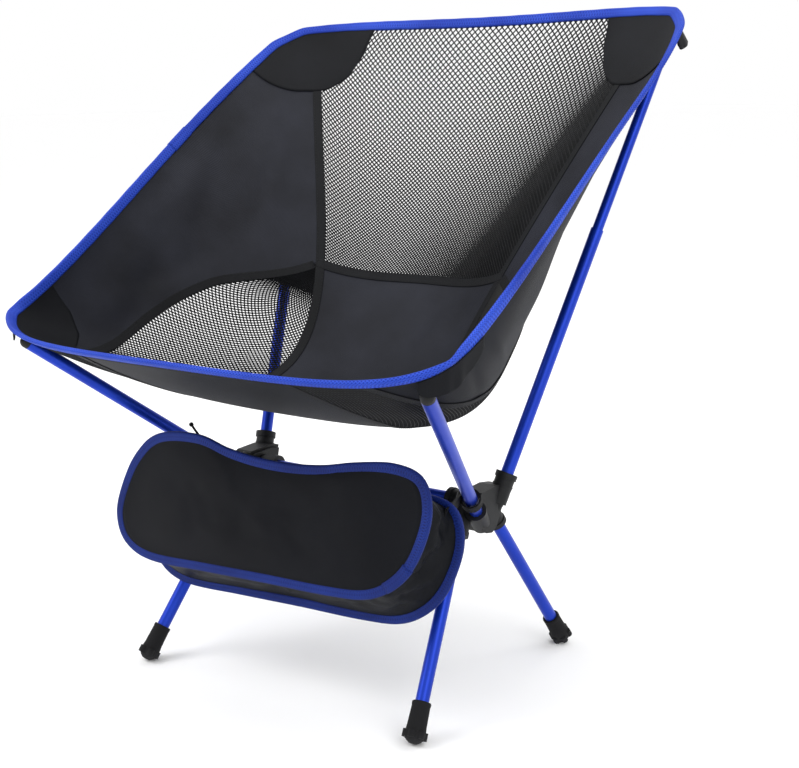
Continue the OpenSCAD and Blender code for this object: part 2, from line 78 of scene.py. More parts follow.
# Bag: outline seen from the front, an arc for the hollow top and a smooth curve through the rest
BAG_FRONT_Y = -156
BAG_DEPTH = 52
BAG_DROP = 42
BAG_BINDING = 10
BAG_TAPE_THICK = 4.4
BAG_TAPE_INSET = 0.8
BAG_MIDDLE = np.array((0, 195))
BAG_FACING = np.array((0.0, 1.0, 0.0))
# Gusset: how far it stops short of each face and inside the outline
GUSSET_SHORT = 2.5
GUSSET_INSET = 3.0
# Creases of the faces and of the gusset: size and height
FACE_CREASE = (60, 2.2)
GUSSET_CREASE = (24, 9.0)
# Zip: radius and lowest point of its arc, half its angle in degrees, and its distance behind the front
ZIP_RADIUS = 380
ZIP_MIDDLE = np.array((22, 245))
ZIP_HALF = 15
ZIP_DEPTH = 25
ZIP_TAPE = (13, 1.0)
ZIP_TAPE_LIFT = 2.2
TOOTH_STEP = 1.6
TOOTH_ROWS = (-1.1, 1.1)
TOOTH_LIFT = 0.7
TAPE_LAP = (176, 174)
# The zip's pull cord: its thickness, then where it leaves the pull, its bend and its free end
CORD_THICK = 2.4
PULL_CORD = np.array(((-80.0, -128.0, 243.0), (-92.0, -130.0, 243.0), (-104.0, -135.0, 264.0)))
BAG_CORNERS = [
    (162, 263), (190, 255), (196, 226), (182, 186), (160, 158), (128, 140), (80, 134), (5, 131), (-74, 127),
    (-150, 124), (-184, 136), (-193, 162), (-182, 194), (-160, 228), (-128, 252),
]

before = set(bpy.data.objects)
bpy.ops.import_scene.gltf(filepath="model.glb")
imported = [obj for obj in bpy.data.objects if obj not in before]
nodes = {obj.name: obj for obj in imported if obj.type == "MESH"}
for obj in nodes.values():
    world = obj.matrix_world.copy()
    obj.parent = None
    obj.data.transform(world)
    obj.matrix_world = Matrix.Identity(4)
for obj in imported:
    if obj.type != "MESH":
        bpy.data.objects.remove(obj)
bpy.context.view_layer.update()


# ---------------------------------------------------------------- shape of the seat cloth

def ramp(x, a, b):
    """0 at a and 1 at b, in a straight line."""
    return (x - a) / (b - a) if b > a else 0 * x


def ease(x, a, b):
    """0 up to a, 1 from b on, smooth between them."""
    u = np.clip((x - a) / (b - a), 0, 1)
    return u * u * (3 - 2 * u)


def row_weights(s):
    """How much each seat row counts at s: a cubic B-spline that starts and ends on the outer rows."""
    spans = len(SEAT_ROWS) - 3
    knots = [min(max(i - 3, 0), spans) / spans for i in range(len(SEAT_ROWS) + 4)]
    weights = [((s >= a) & (s < b)).astype(float) for a, b in zip(knots, knots[1:])]
    for k in (1, 2, 3):
        weights = [
            ramp(s, knots[i], knots[i + k]) * weights[i]
            + (1 - ramp(s, knots[i + 1], knots[i + k + 1]))
            * (knots[i + k + 1] > knots[i + 1]) * weights[i + 1]
            for i in range(len(weights) - 1)
        ]
    return weights


def seat_half(s, w):
    """Points of the seat's right half, w from 0 at the middle to 1 at the side edge."""
    s = np.clip(s, 0, 0.99999)
    shares = ((1 - w) ** 3, 3 * w * (1 - w) ** 2, 3 * w * w * (1 - w), w ** 3)
    points = np.zeros((len(s), 3))
    for weight, (y, z, flat, shoulder, edge) in zip(row_weights(s), SEAT_ROWS):
        for share, corner in zip(shares, ((0, y, z), (flat, y, z), shoulder, edge)):
            points += np.outer(weight * share, corner)
    return points


def round_off(x, size):
    return size[1] * (1 - np.sqrt(1 - np.clip(1 - x / size[0], 0, 1) ** 2))


def half_width(s):
    """Share of the half width that is left at s, because the corners are round."""
    return 1 - round_off(s, FRONT_ROUND) - round_off(1 - s, BACK_ROUND)


def seam_t(s):
    """The two middle seams."""
    return 0.33 + 0.52 * np.maximum((s - 0.42) / 0.58, 0) ** 2


def side_t(s):
    """The seam between a side panel and its mesh, a smooth line that ends on the middle seam."""
    reach = np.clip(SEAT_END - s, 0, 0.06)
    smooth = sum(np.interp(s + share * reach, *SIDE_SEAM) for share in np.linspace(-1, 1, 9)) / 9
    return np.where(s < SEAT_END, smooth, seam_t(s))


# Soft folds of the seat: side, start (s, t), end (s, t), width and height in mm
FOLDS = [
    (-1, (0.08, 0.84), (0.56, 0.84), 20, -3.4),
    (-1, (0.16, 0.72), (0.60, 0.93), 13, 2.6),
    (-1, (0.20, 0.90), (0.72, 0.72), 9, 1.6),
    (-1, (0.30, 0.93), (0.90, 0.86), 22, -4.0),
    (-1, (0.44, 0.78), (0.84, 0.95), 12, 2.4),
    (-1, (0.62, 0.60), (0.95, 0.92), 16, -3.0),
    (-1, (0.58, 0.66), (0.92, 0.84), 8, 1.5),
    (1, (0.10, 0.82), (0.54, 0.88), 20, -3.2),
    (1, (0.20, 0.90), (0.62, 0.80), 12, 2.4),
    (1, (0.38, 0.92), (0.92, 0.88), 20, -3.4),
    (1, (0.55, 0.70), (0.86, 0.94), 13, 2.4),
    (1, (0.06, 0.97), (0.20, 0.66), 8, -2.0),
    (1, (0.14, 0.97), (0.30, 0.74), 8, 1.8),
    (-1, (0.05, 0.30), (0.20, 0.62), 20, -1.6),
    (1, (0.05, 0.30), (0.20, 0.62), 20, -1.6),
    (-1, (0.52, 0.02), (0.66, 0.30), 14, -1.2),
    (1, (0.50, 0.05), (0.66, 0.28), 16, -1.4),
]


def folds(s, t):
    """Height of the soft folds, in mm; none at the bound edge or under the corner patches."""
    x, y = t * HALF_GIRTH, s * SEAT_LENGTH
    height = np.zeros(len(s))
    for side, start, end, width, peak in FOLDS:
        a = np.array((side * start[1] * HALF_GIRTH, start[0] * SEAT_LENGTH))
        b = np.array((side * end[1] * HALF_GIRTH, end[0] * SEAT_LENGTH))
        reach = b - a
        along = ((x - a[0]) * reach[0] + (y - a[1]) * reach[1]) / (reach @ reach)
        across = ((x - a[0]) * reach[1] - (y - a[1]) * reach[0]) / math.hypot(*reach)
        height += peak * np.exp(-(across / width) ** 2) * np.sin(math.pi * np.clip(along, 0, 1)) ** 2
    open_cloth = ease(1 - abs(t), 0.01, 0.08) * ease(s, 0.01, 0.08) * ease(1 - s, 0.02, 0.10)
    return height * open_cloth


def seat_point(s, t, depth=0.0):
    """Points of the seat cloth in metres, depth mm outside it.

    s runs from 0 at the front to 1 at the top, t from -1 at the left edge to 1 at the right.
    """
    s, t = np.broadcast_arrays(np.asarray(s, float), np.asarray(t, float))
    w = np.abs(t) * half_width(s)
    e = 0.004
    low, high = np.clip(s - e, 0, 1), np.clip(s + e, 0, 0.9999)
    v = np.clip(w, 0.01, 1 - e)
    along = seat_half(high, w) - seat_half(low, w)
    normal = np.cross(along, seat_half(s, v + e) - seat_half(s, v - e))
    normal /= np.linalg.norm(normal, axis=1)[:, None]
    points = seat_half(s, w) + normal * (depth + folds(s, t))[:, None]
    points[:, 0] *= np.where(t < 0, -1, 1)
    points[:, 1] += HUB_Y
    return points * MM


# ---------------------------------------------------------------- making pieces

def piece_from(bm, name, materials, body, replaced=(), smooth=True):
    """Turn a bmesh into a finished piece that rides on a body of the frame."""
    mesh = bpy.data.meshes.new(name)
    bm.to_mesh(mesh)
    bm.free()
    for material in materials:
        mesh.materials.append(material)
    if smooth:
        mesh.shade_smooth()
    else:
        mesh.shade_flat()
    piece = bpy.data.objects.new(name, mesh)
    bpy.context.scene.collection.objects.link(piece)
    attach(piece, body)
    if replaced:
        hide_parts(*replaced)
    return piece


def lay_grid(bm, place, pattern=(1, 1), close=False):
    """Move a unit grid's points to place(u, v), and keep u and v as its pattern coordinates."""
    flat = np.array([v.co[:2] for v in bm.verts]) + 0.5
    marks = bm.loops.layers.uv.verify()
    bm.verts.index_update()
    for face in bm.faces:
        for loop in face.loops:
            loop[marks].uv = flat[loop.vert.index] * pattern
    for vert, point in zip(bm.verts, place(flat[:, 0], flat[:, 1])):
        vert.co = point
    if close:
        bmesh.ops.remove_doubles(bm, verts=bm.verts, dist=0.02 * MM)


def grid(columns, rows):
    bm = bmesh.new()
    bmesh.ops.create_grid(bm, x_segments=columns, y_segments=rows, size=0.5)
    return bm


def thicken(piece, thickness, inner_slot=0):
    """Give a sheet its thickness on the side that its faces point to."""
    wall = piece.modifiers.new("cloth", "SOLIDIFY")
    wall.thickness = thickness * MM
    wall.offset = 1
    wall.use_even_offset = False
    wall.material_offset = inner_slot


def panel(name, s_range, low, high, cells, depth, thickness, materials, replaced, sizes):
    """A cut piece of the seat between rows s_range and the two curves low(s) and high(s)."""
    bm = grid(*cells)

    def place(u, v):
        s = s_range[0] + (s_range[1] - s_range[0]) * u
        return seat_point(s, low(s) + (high(s) - low(s)) * v, depth)

    lay_grid(bm, place, sizes)
    piece = piece_from(bm, name, materials, "seat", replaced)
    thicken(piece, thickness, len(materials) - 1)
    return piece


def open_mesh(name, s_range, low, high, cells, materials, replaced, sizes):
    """A cut piece of open mesh cloth: threads that cross at 45 degrees round diamond holes."""
    bm = grid(*cells)
    straight = [edge for edge in bm.edges if not edge.is_boundary]
    bmesh.ops.poke(bm, faces=bm.faces[:])
    bmesh.ops.dissolve_edges(bm, edges=straight)

    def place(u, v):
        s = s_range[0] + (s_range[1] - s_range[0]) * u
        return seat_point(s, low(s) + (high(s) - low(s)) * v, CLOTH / 2)

    lay_grid(bm, place, sizes)
    piece = piece_from(bm, name, materials, "seat", replaced, smooth=False)
    threads = piece.modifiers.new("threads", "WIREFRAME")
    threads.thickness = MESH_THREAD * MM
    threads.use_even_offset = False
    threads.use_boundary = True
    return piece


def tube_along(bm, line, across, up, section, turns, pattern=(1, 1)):
    """Sweep a closed section of (across, up) pairs in mm along a line; turns says that the line closes."""
    ring, steps = len(section), len(line)
    spans = steps if turns else steps - 1
    made = grid(spans, ring)

    def place(u, v):
        station = np.rint(u * spans).astype(int) % steps
        corner = section[np.rint(v * ring).astype(int) % ring]
        return line[station] + (across[station] * corner[:, :1] + up[station] * corner[:, 1:2]) * MM

    lay_grid(made, place, pattern, close=True)
    rims = [edge for edge in made.edges if edge.is_boundary]
    if rims:
        bmesh.ops.holes_fill(made, edges=rims, sides=0)
    bmesh.ops.recalc_face_normals(made, faces=made.faces)
    temporary = bpy.data.meshes.new("section")
    made.to_mesh(temporary)
    made.free()
    bm.from_mesh(temporary)
    bpy.data.meshes.remove(temporary)


def pill(width, height, steps=12, squareness=0.45):
    """Section of a folded tape: flat faces and round edges, width by height in mm."""
    a = np.linspace(0, 2 * math.pi, steps, endpoint=False) + math.pi / steps
    c, d = np.cos(a), np.sin(a)
    return np.stack((
        width / 2 * np.sign(c) * np.abs(c) ** squareness,
        height / 2 * np.sign(d) * np.abs(d) ** squareness,
    ), axis=1)


def frames_along(line, normal, closed):
    """Unit across and up directions for a line that lies on a surface with these normals."""
    ahead = np.roll(line, -1, 0) - np.roll(line, 1, 0)
    if not closed:
        ahead[0], ahead[-1] = line[1] - line[0], line[-1] - line[-2]
    ahead /= np.linalg.norm(ahead, axis=1)[:, None]
    across = np.cross(ahead, normal)
    across /= np.linalg.norm(across, axis=1)[:, None]
    return ahead, across, np.cross(across, ahead)


def even_steps(points, spacing, closed=False):
    """Numbers along a line of points, each spacing metres further, as fractional indices."""
    steps = np.linalg.norm(np.diff(points, axis=0), axis=1)
    travelled = np.concatenate(((0,), np.cumsum(steps)))
    count = max(2, round(travelled[-1] / spacing))
    return np.interp(np.linspace(0, travelled[-1], count + 1)[: count if closed else None],
                     travelled, np.arange(len(points)))


def seat_line(stations, spacing, depth, closed=False):
    """A line on the seat through (s, t) stations at even spacing: points, then ahead, across and up."""
    s, t = stations
    at = even_steps(seat_point(s, t, depth), spacing * MM, closed)
    s, t = (np.interp(at, np.arange(len(s)), x) for x in (s, t))
    points = seat_point(s, t, depth)
    outward = seat_point(s, t, depth + 1) - points
    return (points, *frames_along(points, outward, closed))


def edge_stations():
    """The seat's edge: front, right side, top and left side, all the way round."""
    front = np.linspace(-1, 1, 200, endpoint=False)
    side = 0.5 - 0.5 * np.cos(np.linspace(0, math.pi, 500, endpoint=False))
    s = np.concatenate((0 * front, side, 0 * front + 1, 1 - side))
    t = np.concatenate((front, 0 * side + 1, -front, 0 * side - 1))
    return s, t


# Length, width and height of a stitch; its lift off a tape; rows of stitches as shares of a tape's width
STITCH = (2.4, 0.5, 0.3)
STITCH_LIFT = 0.03
BINDING_ROWS = (-0.28, 0.28)
SEAM_ROWS = (-0.34, 0.34)
# Steps from one stitch to the next
EDGE_STEP = 4.2
SEAM_STEP = 3.8
BAG_STEP = 4
# Length and girth over which each cloth's or tape's pattern is laid
TAPE_PATTERN = (2150, 28)
LAP_PATTERN = (36, 30)
BAG_PATTERN = (920, 26)
SEAM_PATTERN = (600, 22)
PATCH_PATTERN = (95, 110)
POCKET_PATTERN = (90, 22)
GUSSET_PATTERN = (900, 60)
SEAT_PATTERN = (430, 200)
SIDE_PATTERN = (640, 110)
BACK_MESH_PATTERN = (290, 330)
SIDE_MESH_PATTERN = (380, 120)


def stitches(bm, line, ahead, up):
    """Short threads lying on a surface, one at each point of the line."""
    size = Matrix.Diagonal((STITCH[0] / 2 * MM, STITCH[1] / 2 * MM, STITCH[2] / 2 * MM, 1))
    for point, forward, outward in zip(line, ahead, up):
        forward, outward = Vector(forward), Vector(outward)
        turn = Matrix((forward, outward.cross(forward), outward)).transposed().to_4x4()
        laid = Matrix.Translation(point) @ turn @ size
        bmesh.ops.create_icosphere(bm, subdivisions=1, radius=1, matrix=laid)


# ---------------------------------------------------------------- finishes

# Scale at which a wave pattern repeats once in a millimetre
WAVES_PER_MM = 0.314


def linear(hex_colour):
    """An sRGB hex colour as linear RGBA."""
    parts = [int(hex_colour[i:i + 2], 16) / 255 for i in (1, 3, 5)]
    return (*[c / 12.92 if c <= 0.04045 else ((c + 0.055) / 1.055) ** 2.4 for c in parts], 1)


def add(tree, kind, inputs=None, **settings):
    """Add a node with its settings; an input is a value or another node's output."""
    made = tree.nodes.new(kind)
    for name, value in settings.items():
        setattr(made, name, value)
    for name, value in (inputs or {}).items():
        if isinstance(value, bpy.types.NodeSocket):
            tree.links.new(value, made.inputs[name])
        else:
            made.inputs[name].default_value = value
    return made


def start_finish(name, **surface):
    """A new material with its shader's plain values set: material, tree, shader and coordinates."""
    material = bpy.data.materials.new(name)
    material.use_nodes = True
    tree = material.node_tree
    shader = tree.nodes["Principled BSDF"]
    for socket, value in surface.items():
        shader.inputs[socket.replace("_", " ")].default_value = value
    return material, tree, shader, add(tree, "ShaderNodeTexCoord")


def spread(tree, factor, dark, light, low=0.3, high=0.7):
    """A colour ramp from dark to light over the part of factor between low and high."""
    ramp_node = add(tree, "ShaderNodeValToRGB", {"Fac": factor})
    first, last = ramp_node.color_ramp.elements
    first.position, first.color = low, dark
    last.position, last.color = high, light
    return ramp_node.outputs["Color"]


def grey(value):
    return (value, value, value, 1)


def anodised_aluminium():
    """Drawn aluminium tube, anodised blue: even satin metal with hairlines along the tube."""
    material, tree, shader, place = start_finish("anodised_aluminium_blue", Metallic=0.6)
    cloud = add(tree, "ShaderNodeTexNoise", {
        "Vector": place.outputs["Object"], "Scale": 22.0, "Detail": 2.0})
    colour = spread(tree, cloud.outputs["Fac"], linear("#0b30a6"), linear("#0f38b4"))
    tree.links.new(colour, shader.inputs["Base Color"])
    hair = add(tree, "ShaderNodeMapping", {"Vector": place.outputs["Object"], "Scale": (1.0, 1.0, 0.04)})
    lines = add(tree, "ShaderNodeTexNoise", {
        "Vector": hair.outputs["Vector"], "Scale": 1600.0, "Detail": 2.0})
    rough = spread(tree, lines.outputs["Fac"], grey(0.32), grey(0.40))
    tree.links.new(rough, shader.inputs["Roughness"])
    bump = add(tree, "ShaderNodeBump", {
        "Height": lines.outputs["Fac"], "Strength": 0.02, "Distance": 0.0002})
    tree.links.new(bump.outputs["Normal"], shader.inputs["Normal"])
    return material


def moulded_nylon(name, dark, light):
    """Glass-filled nylon, moulded and spark-eroded: near black with a fine even grain and worn high spots."""
    material, tree, shader, place = start_finish(name, Specular_IOR_Level=0.25)
    grain = add(tree, "ShaderNodeTexNoise", {
        "Vector": place.outputs["Object"], "Scale": 1500.0, "Detail": 3.0})
    cloud = add(tree, "ShaderNodeTexNoise", {
        "Vector": place.outputs["Object"], "Scale": 60.0, "Detail": 3.0})
    tree.links.new(spread(tree, cloud.outputs["Fac"], linear(dark), linear(light)),
                   shader.inputs["Base Color"])
    tree.links.new(spread(tree, grain.outputs["Fac"], grey(0.42), grey(0.62)), shader.inputs["Roughness"])
    bump = add(tree, "ShaderNodeBump", {
        "Height": grain.outputs["Fac"], "Strength": 0.35, "Distance": 0.0002})
    tree.links.new(bump.outputs["Normal"], shader.inputs["Normal"])
    return material


def boot_rubber():
    """Moulded rubber boots: matt black with a dusty scuffed sole."""
    material, tree, shader, place = start_finish(
        "moulded_rubber_black", Roughness=0.8, Specular_IOR_Level=0.2)
    grain = add(tree, "ShaderNodeTexNoise", {
        "Vector": place.outputs["Object"], "Scale": 900.0, "Detail": 4.0})
    height = add(tree, "ShaderNodeSeparateXYZ", {"Vector": place.outputs["Object"]})
    dust = add(tree, "ShaderNodeMapRange", {
        "Value": height.outputs["Z"], "From Min": 0.0, "From Max": 0.016, "To Min": 0.6, "To Max": 0.0})
    patchy = add(tree, "ShaderNodeMath", {0: dust.outputs["Result"], 1: grain.outputs["Fac"]},
                 operation="MULTIPLY")
    tree.links.new(spread(tree, patchy.outputs["Value"], linear("#141416"), linear("#3a3a3c"), 0.0, 0.6),
                   shader.inputs["Base Color"])
    bump = add(tree, "ShaderNodeBump", {
        "Height": grain.outputs["Fac"], "Strength": 0.4, "Distance": 0.0003})
    tree.links.new(bump.outputs["Normal"], shader.inputs["Normal"])
    return material


def woven(name, dark, light, thread, rough, shine=0.15, diagonal=False, relief=0.35, on_sheet=True):
    """Woven cloth with its threads that many mm apart, on the sheet's pattern or on a hard part's axes.

    The cloths' threads are drawn about 1 mm apart, coarser than real polyester, so that the weave shows.
    """
    material, tree, shader, place = start_finish(name, Roughness=rough, Specular_IOR_Level=shine)
    turn = math.radians(45) if diagonal else 0.0
    laid = add(tree, "ShaderNodeMapping", {
        "Vector": place.outputs["UV" if on_sheet else "Object"], "Rotation": (0.0, 0.0, turn),
        "Scale": (1.0, 1.0, 1.0) if on_sheet else (1 / MM, 1 / MM, 1 / MM)})
    wave = {
        "Vector": laid.outputs["Vector"], "Scale": WAVES_PER_MM / thread, "Distortion": 0.6, "Detail": 1.0}
    warp = add(tree, "ShaderNodeTexWave", wave, bands_direction="X")
    weft = add(tree, "ShaderNodeTexWave", wave, bands_direction="Y")
    both = add(tree, "ShaderNodeMath", {0: warp.outputs["Fac"], 1: weft.outputs["Fac"]},
               operation="MAXIMUM")
    cloud = add(tree, "ShaderNodeTexNoise", {
        "Vector": place.outputs["Object"], "Scale": 14.0, "Detail": 5.0})
    tint = add(tree, "ShaderNodeMath", {0: cloud.outputs["Fac"], 1: both.outputs["Value"]},
               operation="MULTIPLY")
    tree.links.new(spread(tree, tint.outputs["Value"], linear(dark), linear(light), 0.15, 0.75),
                   shader.inputs["Base Color"])
    bump = add(tree, "ShaderNodeBump", {
        "Height": both.outputs["Value"], "Strength": relief, "Distance": 0.0004})
    tree.links.new(bump.outputs["Normal"], shader.inputs["Normal"])
    return material


def spun_thread(name, dark, light):
    """Bonded sewing thread: a soft round strand with a twist."""
    material, tree, shader, place = start_finish(name, Roughness=0.6, Specular_IOR_Level=0.2)
    twist = add(tree, "ShaderNodeTexNoise", {"Vector": place.outputs["Object"], "Scale": 2500.0})
    tree.links.new(spread(tree, twist.outputs["Fac"], linear(dark), linear(light)),
                   shader.inputs["Base Color"])
    return material


def plated_metal():
    """Die-cast slider, plated dark nickel: grey metal with soft wear."""
    material, tree, shader, place = start_finish("plated_zinc_dark", Metallic=1.0)
    cloud = add(tree, "ShaderNodeTexNoise", {
        "Vector": place.outputs["Object"], "Scale": 700.0, "Detail": 4.0})
    tree.links.new(spread(tree, cloud.outputs["Fac"], linear("#2c2d30"), linear("#6a6c72")),
                   shader.inputs["Base Color"])
    tree.links.new(spread(tree, cloud.outputs["Fac"], grey(0.3), grey(0.5)), shader.inputs["Roughness"])
    return material


BLUE_TUBE = anodised_aluminium()
HUB_NYLON = moulded_nylon("moulded_nylon_black", "#0d0e10", "#17181b")
TIP_NYLON = moulded_nylon("moulded_nylon_cap", "#0b0c0d", "#141517")
RUBBER = boot_rubber()
ELASTIC = woven("braided_elastic_cord", "#0c0c0e", "#26262a", 0.8, 0.8, diagonal=True, on_sheet=False)
SEAT_CLOTH = woven("woven_polyester_black", "#0e0f15", "#2c2e38", 1.0, 0.55, shine=0.16)
COATED_BACK = woven("coated_polyester_back", "#0a0b0f", "#1b1d25", 1.0, 0.6, shine=0.1, relief=0.15)
PATCH_CLOTH = woven("woven_polyester_patch", "#08090b", "#191a1f", 1.2, 0.6, shine=0.12)
# The mesh's yarn is coated, so it has the same near-black grained surface
MESH_YARN = moulded_nylon("coated_mesh_yarn", "#08090b", "#121316")
BLUE_TAPE = woven("woven_polyester_tape_blue", "#122a8c", "#3558d0", 2.4, 0.6, diagonal=True, relief=0.5)
BAG_TAPE = woven("woven_polyester_tape_navy", "#0a1852", "#1b3488", 2.0, 0.6, diagonal=True)
BLACK_TAPE = woven("woven_seam_tape_black", "#0a0b0d", "#1a1b1f", 1.0, 0.65, diagonal=True)
BAG_CLOTH = woven("woven_polyester_bag", "#04050a", "#0d0f16", 1.0, 0.5, shine=0.09)
BAG_LINING = woven("woven_polyester_gusset", "#06070a", "#14161c", 1.0, 0.5, shine=0.1)
WEBBING = woven("woven_webbing_black", "#060608", "#161619", 1.6, 0.65, relief=0.6, on_sheet=False)
BLUE_THREAD = spun_thread("sewing_thread_blue", "#1a36a8", "#3a5cd4")
NAVY_THREAD = spun_thread("sewing_thread_navy", "#0e1f6c", "#22408f")
BLACK_THREAD = spun_thread("sewing_thread_black", "#0d0e11", "#1c1d22")
ZIP_METAL = plated_metal()

FRAME_FINISHES = {
    "crossbar_cord": ELASTIC, "shock_cord": ELASTIC, "crossbar": BLUE_TUBE, "front_leg": BLUE_TUBE,
    "rear_leg": BLUE_TUBE, "seat_pole": BLUE_TUBE, "back_pole": BLUE_TUBE, "hub": HUB_NYLON,
    "front_foot": RUBBER, "rear_foot": RUBBER, "seat_tip": TIP_NYLON, "back_tip": TIP_NYLON,
    "zip_slider": ZIP_METAL, "bag_strap": WEBBING,
}


def finish_frame():
    """Give every hard part of the frame its real finish."""
    for name, node in nodes.items():
        found = next((m for start, m in FRAME_FINISHES.items() if name.startswith(start)), None)
        if found is None:
            continue
        if not node.material_slots:
            node.data.materials.append(found)
        for place in node.material_slots:
            place.material = found


# ---------------------------------------------------------------- seat

SIDES = (("left", -1), ("right", 1))


def mirrored(low, high, side):
    """The two curves on that side of the seat, the lower t first."""
    return (low, high) if side > 0 else ((lambda s: -high(s)), (lambda s: -low(s)))


def seat_panels():
    """The solid cloth: the seat itself and the two side panels."""
    cloth = [COATED_BACK, SEAT_CLOTH]
    seat = panel("seat_cloth_panel", (EDGE_S, SEAT_END), lambda s: -seam_t(s), seam_t, (90, 60), 0, CLOTH,
                 cloth, ["seat_panel"], SEAT_PATTERN)
    for word, side in SIDES:
        low, high = mirrored(side_t, lambda s: EDGE_T + 0 * s, side)
        made = panel("side_cloth_" + word, (EDGE_S, 1 - EDGE_S), low, high, (150, 40), 0, CLOTH,
                     cloth, ["side_panel_" + word], SIDE_PATTERN)


def mesh_cells(pattern):
    return [round(length / MESH_PITCH) for length in pattern]


def seat_meshes():
    """The open mesh: the back panel and the two lower side panels."""
    cells = mesh_cells(BACK_MESH_PATTERN)
    back = open_mesh("back_mesh_panel", (SEAT_END, 1 - EDGE_S), lambda s: -seam_t(s), seam_t, cells,
                     [MESH_YARN], ["back_mesh"], BACK_MESH_PATTERN)
    for word, side in SIDES:
        low, high = mirrored(seam_t, side_t, side)
        cells = mesh_cells(SIDE_MESH_PATTERN)
        made = open_mesh("side_mesh_cloth_" + word, (EDGE_S, SEAT_END - 0.002), low, high, cells,
                         [MESH_YARN], ["side_mesh_" + word], SIDE_MESH_PATTERN)


def corner_patches():
    """Reinforcing cloth on the sitter's side of the four corners."""
    for place, line, s_edge, flat, area in (("front", FRONT_PATCH, EDGE_S, (0.15, 0.092), 0.006),
                                            ("back", BACK_PATCH, 1 - EDGE_S, (0.163, 0.097), 0.0092)):
        for word, side in SIDES:
            bm = grid(24, 24)

            def lay(u, v):
                t = line[0][0] + (EDGE_T - line[0][0]) * (v if side > 0 else 1 - v)
                inner = np.interp(t, *line)
                first, last = (s_edge, inner) if s_edge < 0.5 else (inner, s_edge)
                return seat_point(first + (last - first) * u, side * t, PATCH_DEPTH)

            lay_grid(bm, lay, PATCH_PATTERN)
            piece = piece_from(bm, f"{place}_corner_patch_{word}", [PATCH_CLOTH], "seat",
                               [f"{place}_patch_{word}"])
            thicken(piece, PATCH_THICK)


def edge_tape():
    """Blue tape folded over the seat's edge all round, stitched twice, with its ends lapped on the left."""
    line, _, across, up = seat_line(edge_stations(), 4, BINDING_MIDDLE, closed=True)
    pucker = 1 + 0.02 * np.sin(np.arange(len(line)) * 2 * math.pi / 9.1)
    bm = bmesh.new()
    tube_along(bm, line, across * pucker[:, None], up, pill(BINDING, BINDING_THICK), True, TAPE_PATTERN)
    piece_from(bm, "seat_edge_tape", [BLUE_TAPE], "seat", ["edge_binding"])
    bm = bmesh.new()
    row, forward, aside, outward = seat_line(edge_stations(), EDGE_STEP, BINDING_MIDDLE, closed=True)
    for offset in BINDING_ROWS:
        for face in (-1, 1):
            lift = outward * face * (BINDING_THICK / 2 + STITCH_LIFT)
            stitches(bm, row + (aside * offset * BINDING + lift) * MM, forward, outward * face)
    piece_from(bm, "seat_edge_stitching", [BLUE_THREAD], "seat")
    s = np.linspace(0.60, 0.655, 12)
    lap, _, across, up = seat_line((s, -1 + 0 * s), 3, BINDING_MIDDLE)
    bm = bmesh.new()
    tube_along(bm, lap, across, up, pill(BINDING + 1.4, BINDING_THICK + 1.2), False, LAP_PATTERN)
    piece_from(bm, "seat_edge_tape_lap", [BLUE_TAPE], "seat")


def seam_tape(name, lines, replaced, inner_depth):
    """Black tapes sewn along a seam on both faces of the cloth, each with two rows of stitches."""
    tapes, threads = bmesh.new(), bmesh.new()
    for s, t in lines:
        for depth, face in ((CLOTH + SEAM_LIFT, 1), (inner_depth, -1)):
            line, _, across, up = seat_line((s, t), 5, depth)
            tube_along(tapes, line, across, up, pill(SEAM, SEAM_THICK, squareness=0.25), False, SEAM_PATTERN)
            row, ahead, across, up = seat_line((s, t), SEAM_STEP, depth + SEAM_THICK / 2 * face)
            for offset in SEAM_ROWS:
                stitches(threads, row + across * offset * SEAM * MM, ahead, up * face)
    piece_from(tapes, name + "_sewn", [BLACK_TAPE], "seat", replaced)
    piece_from(threads, name + "_stitching", [BLACK_THREAD], "seat")


def seam_tapes():
    """Tapes along the two long seams, the two side seams and the seam between seat and back."""
    for word, side in SIDES:
        s = np.linspace(0.004, 0.996, 160)
        edge = np.linspace(0.004, SEAT_END - 0.006, 100)
        seam_tape("seam_tape_" + word, [(s, side * seam_t(s)), (edge, side * side_t(edge))],
                  ["seam_tape_" + word], -0.5)
    t = np.linspace(-1, 1, 60) * (seam_t(np.array(SEAT_END)) + 0.01)
    seam_tape("seam_tape_cross", [(SEAT_END + 0 * t, t)], ["seam_tape_cross"], -0.65)


FRONT_POCKET = ((0.13, 0.09, 0.055, 0.035, 0.02, 0.008, 0.008, 0.008, 0.008),
                (0.985, 0.985, 0.985, 0.985, 0.98, 0.98, 0.94, 0.88, 0.82))
BACK_POCKET = ((0.935, 0.945, 0.957, 0.97, 0.985, 0.993, 0.993, 0.993, 0.993),
               (0.985, 0.985, 0.985, 0.985, 0.98, 0.96, 0.92, 0.86, 0.78))


